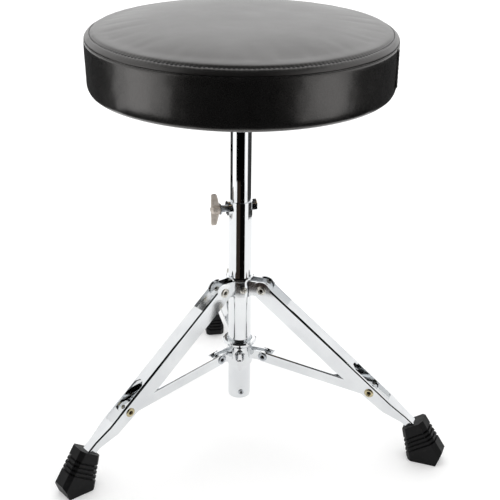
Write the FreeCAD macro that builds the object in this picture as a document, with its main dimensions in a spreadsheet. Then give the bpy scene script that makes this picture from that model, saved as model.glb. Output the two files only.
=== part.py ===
import FreeCAD, Part
import math
import os
import re
import Sketcher
from FreeCAD import Placement, Rotation, Vector

# Drum throne: a round padded seat on a telescopic post, carried by a folding tripod.
# The frame is +Z up. The origin is on the column's axis, at the floor. All sizes are millimetres.

doc = FreeCAD.newDocument("DrumThrone")

# ---------------------------------------------------------------- driving dimensions

SIZES = {
    # column and post
    "tube_outer": 25.4,
    "tube_inner": 22.36,
    "tube_foot": 37.0,
    "tube_top": 274.0,
    "post_outer": 22.2,
    "post_inner": 19.2,
    "post_foot": 128.0,
    "post_top": 390.0,
    "height_hole": 8.6,
    "hole_pitch": 34.0,
    "bolt_height": 266.0,
    "cap_lip": 3.0,
    "plug_depth": 14.0,
    "groove_height": 366.0,
    "groove_width": 5.6,
    "groove_depth": 0.8,
    # seat
    "seat_radius": 156.4,
    "seat_bottom": 398.0,
    "seam_height": 449.5,
    "stitch_radius": 151.0,
    "stitch_height": 456.8,
    "crown_height": 470.0,
    "vinyl": 1.2,
    "lower_round": 6.0,
    "hem_inner": 126.0,
    "board_radius": 148.0,
    "board_thick": 12.0,
    "soft_gap": 0.3,
    "piping_radius": 0.8,
    "join_thick": 1.3,
    "join_width": 6.0,
    "plate_side": 120.0,
    "plate_thick": 2.5,
    "plate_corner": 14.0,
    "plate_screw_radius": 62.0,
    "plate_screw": 6.0,
    "socket_outer": 29.2,
    "socket_inner": 25.2,
    "socket_foot": 357.0,
    "bush_inner": 22.32,
    # clearances
    "run_gap": 0.05,
    "side_gap": 0.1,
    # wing bolt for the height
    "bolt_shank": 8.0,
    "bolt_tip": 11.6,
    "bolt_head": 23.4,
    "wing_length": 10.0,
    "wing_reach": 17.8,
    "wing_thick": 4.2,
    "hub_radius": 5.6,
    "boss_radius": 8.0,
    "boss_face": 15.0,
    "washer_thick": 1.2,
    "guide_flats": 12.0,
    "guide_face": 17.2,
    # locking wing screw of the lower collar
    "lock_height": 91.0,
    "lock_shank": 6.0,
    "lock_tip": 13.4,
    "lock_head": 20.4,
    "lock_length": 8.0,
    "lock_reach": 11.0,
    "lock_thick": 5.0,
    "lock_hub": 4.4,
    "lock_boss": 6.0,
    "lock_boss_face": 17.4,
    # upper collar
    "collar_wall": 1.5,
    "upper_foot": 164.0,
    "upper_top": 185.4,
    "upper_lip": 15.4,
    "lip_height": 3.0,
    "ear_sheet": 1.6,
    "upper_ear_half": 7.35,
    "upper_ear_radius": 8.5,
    # lower collar
    "lower_foot": 78.0,
    "lower_top": 107.8,
    "flange_radius": 18.7,
    "flange_height": 4.6,
    "lower_ear_half": 4.6,
    "lower_ear_radius": 5.6,
    "slide_gap": 0.05,
    # tripod linkage
    "leg_pivot_radius": 28.0,
    "leg_pivot_height": 175.0,
    "brace_pivot_radius": 30.0,
    "brace_pivot_height": 91.5,
    "joint_radius": 154.5,
    "joint_height": 74.2,
    "rivet_shank": 6.0,
    "rivet_head": 5.2,
    "rivet_head_thick": 1.1,
    # leg channel
    "leg_width": 18.0,
    "leg_sheet": 1.5,
    "leg_bend": 2.2,
    "leg_web": 8.7,
    "leg_lower": 10.3,
    "leg_end_radius": 10.0,
    "leg_web_start": 31.0,
    "leg_taper_start": 118.0,
    "leg_end": 211.0,
    "pinch_lower": 5.8,
    "pinch_start": 187.0,
    "pinch_end": 208.0,
    "tip_end": 233.0,
    "tip_width": 12.4,
    "tip_depth": 9.0,
    "window_start": 128.0,
    "window_end": 182.0,
    "window_corner": 1.5,
    "window_width": 13.2,
    # braces
    "brace_width": 12.0,
    "brace_sheet": 1.2,
    "brace_bend": 1.5,
    "brace_half": 6.0,
    "brace_web_start": 10.0,
    "brace_web_end": 120.0,
    # rubber boots
    "boot_width": 23.0,
    "boot_chamfer": 4.5,
    "boot_top_inner": 193.5,
    "boot_top_inner_height": 36.8,
    "boot_top_outer": 215.5,
    "boot_top_outer_height": 51.6,
    "boot_nose": 239.5,
    "boot_nose_height": 16.0,
    "boot_toe": 234.0,
    "boot_heel": 202.5,
    "boot_heel_corner": 200.6,
    "boot_heel_height": 4.0,
    "rib_pitch": 4.9,
    "rib_groove": 2.3,
    "rib_first": 10.5,
    "rib_depth": 1.7,
}

LEG_AZIMUTHS = (90.0, 210.0, 330.0)
BOLT_AZIMUTH = 188.0
LOCK_AZIMUTH = 262.0
COLLAR_SCREW_AZIMUTH = 277.0
BAND_JOIN_AZIMUTH = -25.0
HOLES_BELOW = 3
HOLES_ABOVE = 2
BOOT_RIBS = 4

sheet = doc.addObject("Spreadsheet::Sheet", "Sizes")
for row, (alias, value) in enumerate(SIZES.items(), start=1):
    sheet.set(f"A{row}", alias)
    sheet.set(f"B{row}", str(value))
    sheet.setAlias(f"B{row}", alias)
doc.recompute()


def size(alias):
    """A driving dimension, read from the sheet."""
    return float(getattr(sheet, alias))


def bound(text):
    """The same expression with each alias looked up in the sheet."""
    return re.sub(r"[a-z]\w*", lambda found: "Sizes." + found.group(), text)


# ---------------------------------------------------------------- modelling helpers

def around(azimuth):
    """Turn about the column's axis."""
    return Placement(Vector(), Rotation(Vector(0, 0, 1), azimuth))


def new_body(label, placement=None):
    body = doc.addObject("PartDesign::Body", label)
    body.Label = label
    body.Placement = placement or Placement()
    return body


def plane_of(body, role):
    return next(item for item in body.Origin.OriginFeatures if item.Role == role)


def value_of(sketch, text):
    return float(sketch.evalExpression(bound(text)))


def pin_point(sketch, geometry, position, place):
    """Fix one point of a sketch by its two bound distances from the origin."""
    for kind, axis, text in (("DistanceX", -2, place[0]), ("DistanceY", -1, place[1])):
        if text == "0":
            sketch.addConstraint(Sketcher.Constraint("PointOnObject", geometry, position, axis))
            continue
        number = value_of(sketch, text)
        index = sketch.addConstraint(Sketcher.Constraint(kind, -1, 1, geometry, position, number))
        sketch.setExpression(f"Constraints[{index}]", bound(text))


def draw_polygon(sketch, points):
    corners = [Vector(value_of(sketch, x), value_of(sketch, y), 0) for x, y in points]
    count = len(corners)
    first = sketch.GeometryCount
    for index, corner in enumerate(corners):
        sketch.addGeometry(Part.LineSegment(corner, corners[(index + 1) % count]))
    for index, place in enumerate(points):
        following = first + (index - 1) % count
        sketch.addConstraint(Sketcher.Constraint("Coincident", following, 2, first + index, 1))
        pin_point(sketch, first + index, 1, place)


def draw_circle(sketch, centre, diameter):
    middle = Vector(value_of(sketch, centre[0]), value_of(sketch, centre[1]), 0)
    index = sketch.addGeometry(Part.Circle(middle, Vector(0, 0, 1), value_of(sketch, diameter) / 2))
    pin_point(sketch, index, 3, centre)
    across = Sketcher.Constraint("Diameter", index, value_of(sketch, diameter))
    number = sketch.addConstraint(across)
    sketch.setExpression(f"Constraints[{number}]", bound(diameter))


def new_sketch(body, role, polygons=(), circles=(), swing=0.0):
    """A sketch on one of the body's own planes; swing turns it about the body's Z axis."""
    sketch = body.newObject("Sketcher::SketchObject", body.Label + "_sketch")
    sketch.AttachmentSupport = [(plane_of(body, role), "")]
    sketch.MapMode = "FlatFace"
    sketch.AttachmentOffset = Placement(Vector(), Rotation(Vector(0, 1, 0), swing))
    for points in polygons:
        draw_polygon(sketch, points)
    for centre, diameter in circles:
        draw_circle(sketch, centre, diameter)
    return sketch


def turn(body, *polygons, axis="V_Axis"):
    """Revolve outlines drawn as (distance along X, height) about the body's Z or X axis."""
    sketch = new_sketch(body, "XZ_Plane", polygons)
    revolution = body.newObject("PartDesign::Revolution", body.Label + "_turned")
    revolution.Profile = sketch
    revolution.ReferenceAxis = (sketch, [axis])
    revolution.Angle = 360.0
    doc.recompute()
    return revolution


def pad(body, role, length, polygons=(), circles=()):
    """Add material evenly to both sides of a plane."""
    feature = body.newObject("PartDesign::Pad", body.Label + "_pad")
    feature.Profile = new_sketch(body, role, polygons, circles)
    feature.SideType = "Symmetric"
    feature.setExpression("Length", bound(length))
    doc.recompute()
    return feature


def pocket(body, role, length, polygons=(), circles=(), one_side=False, upward=True, swing=0.0):
    """Remove material evenly on both sides of a plane, or only on its positive or negative side."""
    before = body.Shape.Volume
    feature = body.newObject("PartDesign::Pocket", body.Label + "_pocket")
    feature.Profile = new_sketch(body, role, polygons, circles, swing)
    feature.SideType = "One side" if one_side else "Symmetric"
    feature.Reversed = one_side and upward
    feature.setExpression("Length", bound(length))
    doc.recompute()
    if body.Shape.Volume > before - 0.01:
        raise RuntimeError(f"{body.Label}: a pocket removed nothing")
    return feature


def radial_pad(body, diameter, reach, height):
    """A round stub from the body's Z axis out along X, at the given height."""
    feature = body.newObject("PartDesign::Pad", body.Label + "_stub")
    feature.Profile = new_sketch(body, "YZ_Plane", circles=[(("0", height), diameter)])
    feature.setExpression("Length", bound(reach))
    doc.recompute()
    return feature


def hug(body, radius, height):
    """Cut a stub back to the round surface that it sits on."""
    sketch = new_sketch(body, "XZ_Plane", [rectangle("0", f"{height}-20", radius, f"{height}+20")])
    groove = body.newObject("PartDesign::Groove", body.Label + "_saddle")
    groove.Profile = sketch
    groove.ReferenceAxis = (sketch, ["V_Axis"])
    groove.Angle = 360.0
    doc.recompute()
    return groove


def round_bends(body, radius, roof):
    """Round the long upper bends of a pressed channel, whose upper face is at the given height."""
    top = size(roof)
    blank = body.Tip
    bends = []
    for number, edge in enumerate(blank.Shape.Edges, start=1):
        ends = [vertex.Point for vertex in edge.Vertexes]
        on_top = all(abs(end.z - top) < 0.01 for end in ends)
        if on_top and ends[0].y * ends[-1].y > 0.01:
            bends.append(f"Edge{number}")
    feature = body.newObject("PartDesign::Fillet", body.Label + "_bends")
    feature.Base = (blank, bends)
    feature.setExpression("Radius", bound(radius))
    doc.recompute()
    return feature


def repeat_around(body, features):
    """Repeat features three times about the body's Z axis."""
    pattern = body.newObject("PartDesign::PolarPattern", body.Label + "_pattern")
    pattern.Originals = features
    axis = next(item for item in body.Origin.OriginFeatures if item.Role == "Z_Axis")
    pattern.Axis = (axis, [""])
    pattern.Angle = 360.0
    pattern.Occurrences = len(LEG_AZIMUTHS)
    body.Tip = pattern
    doc.recompute()
    return pattern


def solid_feature(label, shape, placement=None):
    """A piece whose curved form is set directly, from sizes read from the sheet."""
    feature = doc.addObject("Part::Feature", label)
    feature.Label = label
    feature.Shape = shape
    feature.Placement = placement or Placement()
    return feature


def rectangle(left, bottom, right, top):
    return [(left, bottom), (right, bottom), (right, top), (left, top)]


def ring(inner, bottom, outer, top):
    return rectangle(inner, bottom, outer, top)


# ---------------------------------------------------------------- column

def outer_tube():
    body = new_body("outer_tube", around(BOLT_AZIMUTH))
    turn(body, ring("tube_inner/2", "tube_foot", "tube_outer/2", "tube_top"))
    pocket(body, "YZ_Plane", "tube_outer", circles=[(("0", "bolt_height"), "height_hole")], one_side=True)
    return body


def height_boss():
    """Threaded boss welded over the bolt hole, saddled to the tube."""
    body = new_body("height_boss", around(BOLT_AZIMUTH))
    radial_pad(body, "2*boss_radius", "boss_face", "bolt_height")
    hug(body, "tube_outer/2", "bolt_height")
    pocket(body, "YZ_Plane", "2*boss_face", circles=[(("0", "bolt_height"), "bolt_shank+2*run_gap")],
           one_side=True)
    return body


def guide_screw():
    """Hex-headed screw opposite the wing bolt."""
    body = new_body("guide_screw", around(BOLT_AZIMUTH - 180.0))
    corner = "guide_flats*0.57735"
    half = "guide_flats/2"
    middle = "bolt_height+1"
    hexagon = [("0", f"{middle}+{corner}"), ("-" + half, f"{middle}+{corner}/2"),
               ("-" + half, f"{middle}-{corner}/2"), ("0", f"{middle}-{corner}"),
               (half, f"{middle}-{corner}/2"), (half, f"{middle}+{corner}/2")]
    head = body.newObject("PartDesign::Pad", "guide_screw_head")
    head.Profile = new_sketch(body, "YZ_Plane", [hexagon])
    head.setExpression("Length", bound("guide_face"))
    doc.recompute()
    hug(body, "tube_outer/2", "bolt_height")
    return body


def column_plug():
    """Plastic plug that closes the foot of the column tube."""
    body = new_body("column_plug")
    turn(body, [("0", "tube_foot-2"), ("tube_outer/2-0.4", "tube_foot-2"), ("tube_outer/2-0.4", "tube_foot"),
                ("tube_inner/2", "tube_foot"), ("tube_inner/2", "tube_foot+plug_depth"),
                ("0", "tube_foot+plug_depth")])
    return body


def column_rivet():
    """Domed rivet head that holds the plug in the foot of the column."""
    body = new_body("column_rivet", around(270.0))
    radial_pad(body, "rivet_shank+0.6", "tube_outer/2+rivet_head_thick", "tube_foot+6")
    hug(body, "tube_outer/2", "tube_foot+6")
    return body


# ---------------------------------------------------------------- seat post

def seat_post():
    body = new_body("seat_post", around(BOLT_AZIMUTH))
    groove_foot = "groove_height-groove_width/2"
    groove_roof = "groove_height+groove_width/2"
    turn(body, [("post_inner/2", "post_foot"), ("post_outer/2", "post_foot"), ("post_outer/2", groove_foot),
                ("post_outer/2-groove_depth", groove_foot), ("post_outer/2-groove_depth", groove_roof),
                ("post_outer/2", groove_roof), ("post_outer/2", "post_top"), ("post_inner/2", "post_top")])
    lowest = f"bolt_height-{HOLES_BELOW}*hole_pitch"
    hole = pocket(body, "YZ_Plane", "post_outer", circles=[(("0", lowest), "height_hole")], one_side=True)
    row = body.newObject("PartDesign::LinearPattern", "seat_post_holes")
    row.Originals = [hole]
    row.Direction = (hole.Profile[0], ["V_Axis"])
    spaces = HOLES_BELOW + HOLES_ABOVE
    row.setExpression("Length", bound(f"{spaces}*hole_pitch"))
    row.Occurrences = spaces + 1
    body.Tip = row
    doc.recompute()
    return body


def post_top_plug():
    body = new_body("post_top_plug")
    turn(body, [("0", "post_top-plug_depth"), ("post_inner/2", "post_top-plug_depth"),
                ("post_inner/2", "post_top"), ("post_outer/2", "post_top"),
                ("post_outer/2", "post_top+cap_lip"), ("0", "post_top+cap_lip")])
    return body


def post_foot_plug():
    body = new_body("post_foot_plug")
    turn(body, [("0", "post_foot-cap_lip"), ("post_outer/2", "post_foot-cap_lip"),
                ("post_outer/2", "post_foot"), ("post_inner/2", "post_foot"),
                ("post_inner/2", "post_foot+plug_depth"), ("0", "post_foot+plug_depth")])
    return body


# ---------------------------------------------------------------- seat

def arc(start, middle, end):
    return Part.Arc(start, middle, end).toShape()


def line(start, end):
    return Part.LineSegment(start, end).toShape()


def at(radius, height):
    return Vector(radius, 0, height)


def on_circle(centre, radius, degrees):
    angle = math.radians(degrees)
    return at(centre.x + radius * math.cos(angle), centre.z + radius * math.sin(angle))


def crown_edges(inset):
    """The crowned top from the axis to the seam, a given depth below the outside of the vinyl."""
    rise = size("crown_height") - size("stitch_height")
    reach = size("stitch_radius")
    ball = (rise * rise + reach * reach) / (2 * rise)
    centre = at(0, size("crown_height") - ball)
    lean = math.degrees(math.asin(reach / ball))
    top = on_circle(centre, ball - inset, 90)
    middle = on_circle(centre, ball - inset, 90 - lean / 2)
    stitch = on_circle(centre, ball - inset, 90 - lean)
    seam = at(size("seat_radius") - inset, size("seam_height"))
    lean_out = at((stitch.x + seam.x) / 2 + 1.1, (stitch.z + seam.z) / 2 + 1.1)
    return top, seam, [arc(top, middle, stitch), arc(stitch, lean_out, seam)]


def spun(edges):
    face = Part.Face(Part.Wire(edges))
    return face.revolve(Vector(), Vector(0, 0, 1), 360)


def seat_top_cover():
    """Vinyl top panel, from the crown down to the seam."""
    top, seam, outside = crown_edges(0.0)
    low_top, low_seam, inside = crown_edges(size("vinyl"))
    edges = outside + [line(seam, low_seam)] + inside + [line(low_top, top)]
    return solid_feature("seat_top_cover", spun(Part.__sortEdges__(edges)))


def band_outline(inset):
    """The side band from the seam down round the lower corner, a given depth below its outside."""
    radius = size("seat_radius") - inset
    bend = size("lower_round") - inset
    foot = size("seat_bottom") + inset
    seam = at(radius, size("seam_height"))
    corner = at(radius - bend, foot + bend)
    start = at(radius, foot + bend)
    middle = on_circle(corner, bend, -45)
    end = at(radius - bend, foot)
    return seam, start, middle, end


def seat_side_band():
    """Vinyl side band, turned under the board as a hem."""
    seam, start, middle, end = band_outline(0.0)
    low_seam, low_start, low_middle, low_end = band_outline(size("vinyl"))
    hem = at(size("hem_inner"), end.z)
    low_hem = at(size("hem_inner"), low_end.z)
    edges = [line(seam, start), arc(start, middle, end), line(end, hem), line(hem, low_hem),
             line(low_hem, low_end), arc(low_end, low_middle, low_start), line(low_start, low_seam),
             line(low_seam, seam)]
    return solid_feature("seat_side_band", spun(edges))


def seat_piping():
    """Rolled seam between the top panel and the side band."""
    radius = size("piping_radius")
    body = solid_feature(
        "seat_piping",
        Part.makeTorus(size("seat_radius") + radius, radius, Vector(0, 0, size("seam_height"))))
    return body


def band_join():
    """Folded strip where the two ends of the side band are sewn together."""
    foot = Vector(0, 0, size("seat_bottom") + size("lower_round") + 1)
    length = size("seam_height") - foot.z - 2 * size("piping_radius")
    shell = Part.makeCylinder(size("seat_radius") + size("join_thick"), length, foot)
    hollow = Part.makeCylinder(size("seat_radius"), length, foot)
    width = size("join_width")
    strip = Part.makeBox(size("seat_radius"), width, length, foot + Vector(size("board_radius"), -width / 2, 0))
    return solid_feature("band_join", shell.cut(hollow).common(strip), around(BAND_JOIN_AZIMUTH))


def foam_pad():
    """Foam disc between the board and the vinyl."""
    depth = size("vinyl") + size("soft_gap")
    top, seam, crown = crown_edges(depth)
    board_top = size("seat_bottom") + size("vinyl") + size("board_thick") + size("soft_gap")
    foot = at(seam.x, board_top)
    axis_foot = at(0, board_top)
    edges = crown + [line(seam, foot), line(foot, axis_foot), line(axis_foot, top)]
    return solid_feature("foam_pad", spun(edges))


def seat_board():
    body = new_body("seat_board")
    foot = "seat_bottom+vinyl"
    turn(body, [("0", foot), ("board_radius", foot), ("board_radius", foot + "+board_thick"),
                ("0", foot + "+board_thick")])
    pocket(body, "XY_Plane", "2*(seat_bottom+vinyl+board_thick+1)", circles=screw_circles("plate_screw+2.2"))
    return body


def screw_circles(diameter):
    """Four round holes on the diagonals of the seat plate."""
    reach = "plate_screw_radius*0.70710678"
    places = [(reach, reach), ("-" + reach, reach), ("-" + reach, "-" + reach), (reach, "-" + reach)]
    return [(place, diameter) for place in places]


def underside_cloth():
    """Black cloth that closes the underside inside the hem, open round the plate."""
    body = new_body("underside_cloth")
    turn(body, ring("plate_side*0.72", "seat_bottom+0.4", "hem_inner-soft_gap", "seat_bottom+vinyl"))
    return body


def seat_plate():
    """Steel plate with cut corners, screwed under the board."""
    body = new_body("seat_plate")
    half = "plate_side/2"
    cut = "(plate_side/2-plate_corner)"
    octagon = [("-" + cut, "-" + half), (cut, "-" + half), (half, "-" + cut), (half, cut),
               (cut, half), ("-" + cut, half), ("-" + half, cut), ("-" + half, "-" + cut)]
    feature = body.newObject("PartDesign::Pad", "seat_plate_sheet")
    feature.Profile = new_sketch(body, "XY_Plane", [octagon])
    feature.setExpression("Length", bound("seat_bottom+vinyl"))
    doc.recompute()
    side = "2*plate_side"
    pocket(body, "XY_Plane", "2*(seat_bottom+vinyl-plate_thick)",
           [rectangle("-" + side, "-" + side, side, side)])
    pocket(body, "XY_Plane", "3*seat_bottom", circles=screw_circles("plate_screw+2*run_gap"))
    return body


def socket_tube():
    """Steel socket welded under the seat plate, drilled for the retaining screw."""
    body = new_body("socket_tube", around(90.0))
    roof = "seat_bottom+vinyl-plate_thick"
    turn(body, ring("socket_inner/2", "socket_foot", "socket_outer/2", roof))
    pocket(body, "YZ_Plane", "socket_outer", circles=[(("0", "groove_height"), "5.1")], one_side=True)
    return body


def swivel_bush():
    """Nylon bush pressed in the socket; the post turns in it."""
    body = new_body("swivel_bush", around(90.0))
    turn(body, ring("bush_inner/2", "socket_foot", "socket_inner/2", "post_top"))
    pocket(body, "YZ_Plane", "socket_outer", circles=[(("0", "groove_height"), "5.1")], one_side=True)
    return body


def thrust_washer():
    """Washer between the post's cap and the seat plate, which carries the sitter's weight."""
    body = new_body("thrust_washer")
    turn(body, [("0", "post_top+cap_lip+side_gap"), ("socket_inner/2-side_gap", "post_top+cap_lip+side_gap"),
                ("socket_inner/2-side_gap", "seat_bottom+vinyl-plate_thick"),
                ("0", "seat_bottom+vinyl-plate_thick")])
    return body


def socket_screw():
    """Screw whose tip runs in the post's groove, so that the seat turns but can't lift off."""
    body = new_body("socket_screw", around(90.0))
    tip = "post_outer/2-groove_depth+0.3"
    head = "socket_outer/2+side_gap"
    radial_pad(body, "5", head + "+4", "groove_height")
    hug(body, tip, "groove_height")
    return body


def four_on_plate(label, low, high, radius):
    """Four round fasteners on the diagonals of the seat plate, as one group."""
    solids = []
    reach = size("plate_screw_radius")
    for index in range(4):
        angle = math.radians(45 + 90 * index)
        foot = Vector(reach * math.cos(angle), reach * math.sin(angle), 0)
        parts = [Part.makeCylinder(r, high_z - low_z, foot + Vector(0, 0, low_z))
                 for r, low_z, high_z in zip(radius, low, high)]
        solid = parts[0]
        for extra in parts[1:]:
            solid = solid.fuse(extra)
        solids.append(solid.removeSplitter())
    return solid_feature(label, Part.makeCompound(solids))


def plate_screws():
    plate_foot = size("seat_bottom") + size("vinyl") - size("plate_thick")
    radius = size("plate_screw") / 2
    return four_on_plate("plate_screws", (plate_foot - 2.4, plate_foot - 0.01),
                         (plate_foot, plate_foot + 13.5), (5.0, radius))


def tee_nuts():
    """Sleeves set in the board, which the plate's screws thread into."""
    board_foot = size("seat_bottom") + size("vinyl")
    outer = size("plate_screw") / 2 + 1.1
    inner = size("plate_screw") / 2
    reach = size("plate_screw_radius")
    solids = []
    for index in range(4):
        angle = math.radians(45 + 90 * index)
        foot = Vector(reach * math.cos(angle), reach * math.sin(angle), board_foot)
        solids.append(Part.makeCylinder(outer, size("board_thick"), foot).cut(
            Part.makeCylinder(inner, size("board_thick"), foot)))
    return solid_feature("tee_nuts", Part.makeCompound(solids))


# ---------------------------------------------------------------- screws with wings

def wing_screw(label, azimuth, height, names):
    """Cast wing head on a threaded shank. X points outward along the screw."""
    lift = Placement(Vector(0, 0, size(height)), Rotation())
    body = new_body(label, around(azimuth).multiply(lift))
    tip, head, length, reach, thick, hub, shank = names
    turn(body, [(tip, "0"), (tip, f"{shank}/2-0.8"), (f"{tip}+0.8", f"{shank}/2"), (head, f"{shank}/2"),
                (head, hub), (f"{head}+{length}*0.55", hub), (f"{head}+{length}*0.8", f"{hub}*0.8"),
                (f"{head}+{length}", f"{hub}*0.35"), (f"{head}+{length}", "0")], axis="H_Axis")
    top = [(f"{head}+0.3", f"{hub}*0.4"), (f"{head}+{length}*0.9", f"{hub}*0.4"),
           (f"{head}+{length}*0.82", f"{reach}*0.86"), (f"{head}+{length}*0.7", reach),
           (f"{head}+{length}*0.36", reach), (f"{head}+{length}*0.22", f"{reach}*0.86")]
    bottom = [(x, f"-{y}") for x, y in top]
    pad(body, "XZ_Plane", thick, [top])
    pad(body, "XZ_Plane", thick, [bottom])
    return body


def height_wing_bolt():
    names = ("bolt_tip", "bolt_head", "wing_length", "wing_reach", "wing_thick", "hub_radius", "bolt_shank")
    return wing_screw("height_wing_bolt", BOLT_AZIMUTH, "bolt_height", names)


def lock_wing_screw():
    names = ("lock_tip", "lock_head", "lock_length", "lock_reach", "lock_thick", "lock_hub", "lock_shank")
    return wing_screw("lock_wing_screw", LOCK_AZIMUTH, "lock_height", names)


def screw_washer(label, azimuth, height, head, shank, hub):
    lift = Placement(Vector(0, 0, size(height)), Rotation())
    body = new_body(label, around(azimuth).multiply(lift))
    turn(body, rectangle(f"{head}-washer_thick", f"{shank}/2+run_gap", f"{head}-0.02", f"{hub}+0.6"),
         axis="H_Axis")
    return body


# ---------------------------------------------------------------- collars

def collar_ears(body, pivot_radius, pivot_height, half, radius, reach_in, gap_in):
    """A pair of riveting ears, drawn once and repeated for the three legs or braces."""
    foot = f"{pivot_height}-{radius}"
    roof = f"{pivot_height}+{radius}"
    plate = pad(body, "XZ_Plane", f"2*{half}", [rectangle(reach_in, foot, pivot_radius, roof)])
    nose = pad(body, "XZ_Plane", f"2*{half}", circles=[((pivot_radius, pivot_height), f"2*{radius}")])
    slot = pocket(body, "XZ_Plane", f"2*({half}-ear_sheet)",
                  [rectangle(gap_in, f"{foot}-5", f"{pivot_radius}+20", f"{roof}+5")])
    hole = pocket(body, "XZ_Plane", "40*vinyl", circles=[((pivot_radius, pivot_height), "rivet_shank")])
    return repeat_around(body, [plate, nose, slot, hole])


def upper_collar():
    """Fixed collar that carries the legs: a sleeve with a rolled lip and three pairs of ears."""
    body = new_body("upper_collar", around(LEG_AZIMUTHS[0]))
    sleeve = "tube_outer/2+collar_wall"
    turn(body, [("tube_outer/2", "upper_foot"), (sleeve, "upper_foot"), (sleeve, "upper_top-lip_height"),
                ("upper_lip", "upper_top-lip_height+0.8"), ("upper_lip", "upper_top-0.8"),
                ("upper_lip-0.8", "upper_top"), ("tube_outer/2", "upper_top")])
    collar_ears(body, "leg_pivot_radius", "leg_pivot_height", "upper_ear_half", "upper_ear_radius",
                "tube_outer/2+0.6", "tube_outer/2+collar_wall+0.1")
    return body


def lower_collar():
    """Sliding collar that spreads the braces: a sleeve with a flared ring and three pairs of ears."""
    body = new_body("lower_collar", around(LEG_AZIMUTHS[0]))
    bore = "tube_outer/2+slide_gap"
    sleeve = "tube_outer/2+collar_wall+0.3"
    flange_foot = "lower_top-flange_height"
    turn(body, [(bore, "lower_foot"), (sleeve, "lower_foot"), (sleeve, flange_foot + "-3"),
                ("flange_radius-1.4", flange_foot), ("flange_radius", flange_foot + "+1.4"),
                ("flange_radius", "lower_top-1.4"), ("flange_radius-1.4", "lower_top"),
                (bore + "+1.6", "lower_top"), (bore, "lower_top-1.6")])
    collar_ears(body, "brace_pivot_radius", "brace_pivot_height", "lower_ear_half", "lower_ear_radius",
                "tube_outer/2+0.9", "tube_outer/2+collar_wall+0.4")
    pocket(body, "YZ_Plane", "flange_radius", circles=[(("0", "lock_height"), "lock_shank+2*run_gap")],
           one_side=True, swing=LOCK_AZIMUTH - LEG_AZIMUTHS[0])
    return body


def lock_boss():
    """Threaded boss welded on the sliding collar for its wing screw."""
    body = new_body("lock_boss", around(LOCK_AZIMUTH))
    radial_pad(body, "2*lock_boss", "lock_boss_face", "lock_height")
    hug(body, "tube_outer/2+collar_wall+0.3", "lock_height")
    pocket(body, "YZ_Plane", "2*flange_radius",
           circles=[(("0", "lock_height"), "lock_shank+2*run_gap")], one_side=True)
    return body


def collar_screw():
    """Domed screw head that pins the upper collar to the column."""
    body = new_body("collar_screw", around(COLLAR_SCREW_AZIMUTH))
    radial_pad(body, "rivet_shank+1.8", "tube_outer/2+collar_wall+1.6", "leg_pivot_height-2.3")
    hug(body, "tube_outer/2+collar_wall", "leg_pivot_height-2.3")
    return body


# ---------------------------------------------------------------- tripod

def tilt(run, drop):
    """Angle below the horizontal of a line that runs outward and drops."""
    return math.degrees(math.atan2(drop, run))


LEG_RUN = size("joint_radius") - size("leg_pivot_radius")
LEG_DROP = size("leg_pivot_height") - size("joint_height")
BRACE_RUN = size("joint_radius") - size("brace_pivot_radius")
BRACE_DROP = size("brace_pivot_height") - size("joint_height")
LEG_TO_JOINT = math.hypot(LEG_RUN, LEG_DROP)
BRACE_LENGTH = math.hypot(BRACE_RUN, BRACE_DROP)


def hung_at(azimuth, radius, height, run, drop):
    """Frame at a pivot: X runs down along the member, Y across it, Z out of its upper side."""
    pivot = Placement(Vector(size(radius), 0, size(height)), Rotation(Vector(0, 1, 0), tilt(run, drop)))
    return around(azimuth).multiply(pivot)


def leg_frame(azimuth):
    return hung_at(azimuth, "leg_pivot_radius", "leg_pivot_height", LEG_RUN, LEG_DROP)


def brace_frame(azimuth):
    return hung_at(azimuth, "brace_pivot_radius", "brace_pivot_height", BRACE_RUN, BRACE_DROP)


def leg_plan(inset, start, end):
    """Outline of a leg seen from above, drawn in from its sides by a given depth."""
    wide = f"leg_width/2-{inset}"
    narrow = f"tip_width/2-{inset}"
    near = [(start, f"-({wide})"), ("pinch_start", f"-({wide})"), ("pinch_end", f"-({narrow})"),
            (end, f"-({narrow})")]
    far = [(end, narrow), ("pinch_end", narrow), ("pinch_start", wide), (start, wide)]
    return near + far


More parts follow.
